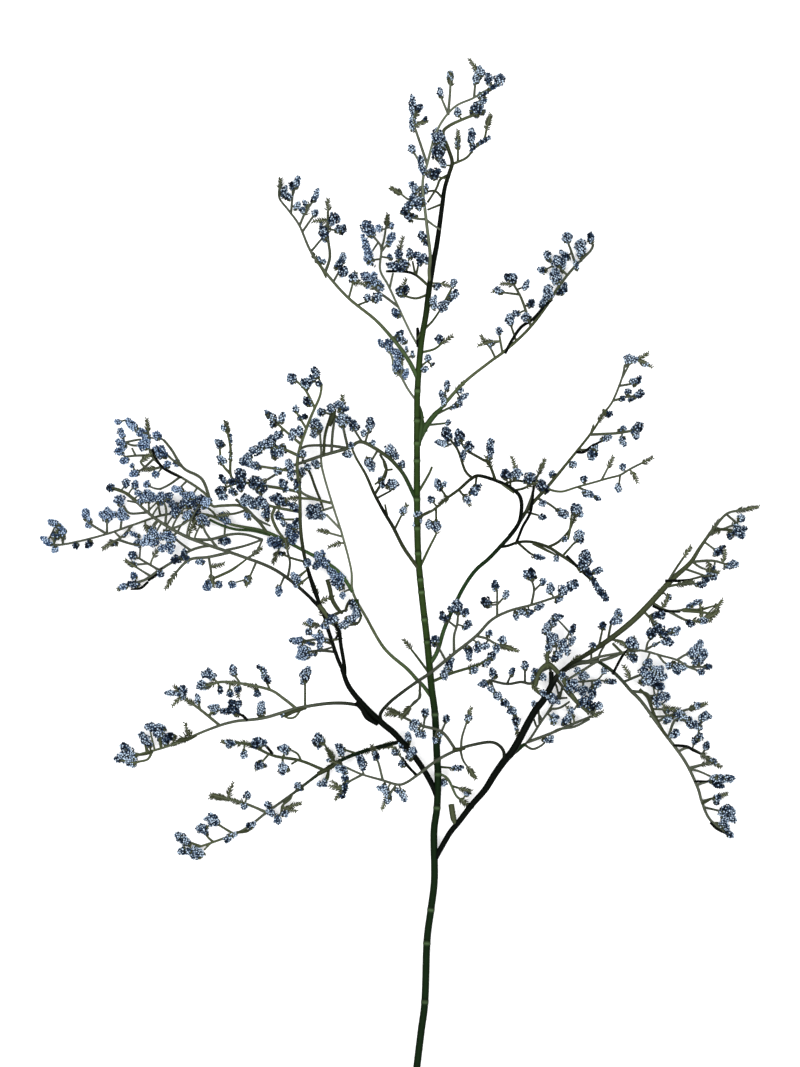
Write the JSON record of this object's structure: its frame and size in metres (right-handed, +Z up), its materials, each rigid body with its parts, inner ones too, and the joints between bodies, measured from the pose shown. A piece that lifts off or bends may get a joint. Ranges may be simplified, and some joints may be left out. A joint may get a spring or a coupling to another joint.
{
  "type": "dried statice spray",
  "caption": "Cut branching spray of dried statice that lies flat, with small egg-shaped blue heads and comb-like green sprigs along thin dark stems.",
  "frame": {"origin": "bottom centre of the bounding box, on the surface the spray lies on", "axes": "+Y along the main stem from the cut end towards the tip, +Z up from the surface, +X to the right in the picture's view from above"},
  "size_m": [0.5766, 0.8144, 0.0837],
  "materials": {
    "stem_green": "matt mid green stem, darker towards the foot, with raised pale ring marks",
    "branch_green": "matt dark green branches with olive straps",
    "spray_green_and_blue": "heads of tiny beads, pale blue to navy, on grey-olive twigs with olive comb-like sprigs"
  },
  "bodies": {
    "root": {"main_stem": "stem_green", "leader": "spray_green_and_blue", "thin_back_spray": "spray_green_and_blue", "upper_left_spray": "spray_green_and_blue", "small_back_spray": "spray_green_and_blue", "upper_right_spray": "spray_green_and_blue", "arched_middle_spray": "spray_green_and_blue", "straight_middle_spray": "spray_green_and_blue", "long_left_branch": "spray_green_and_blue", "far_left_spray": "spray_green_and_blue", "far_left_upper_spray": "spray_green_and_blue", "low_left_branch": "branch_green", "tall_left_spray": "spray_green_and_blue", "far_left_middle_spray": "spray_green_and_blue", "far_left_low_spray": "spray_green_and_blue", "lower_left_spray": "spray_green_and_blue", "lowest_left_spray": "spray_green_and_blue", "right_crossing_spray": "spray_green_and_blue", "right_arch": "spray_green_and_blue", "right_middle_spray": "spray_green_and_blue", "tall_right_spray": "spray_green_and_blue", "small_level_spray": "spray_green_and_blue", "low_right_branch": "branch_green", "right_back_spray": "spray_green_and_blue", "upper_outer_spray": "spray_green_and_blue", "level_outer_spray": "spray_green_and_blue", "falling_outer_spray": "spray_green_and_blue", "left_crossing_spray": "spray_green_and_blue"}
  },
  "joints": []
}
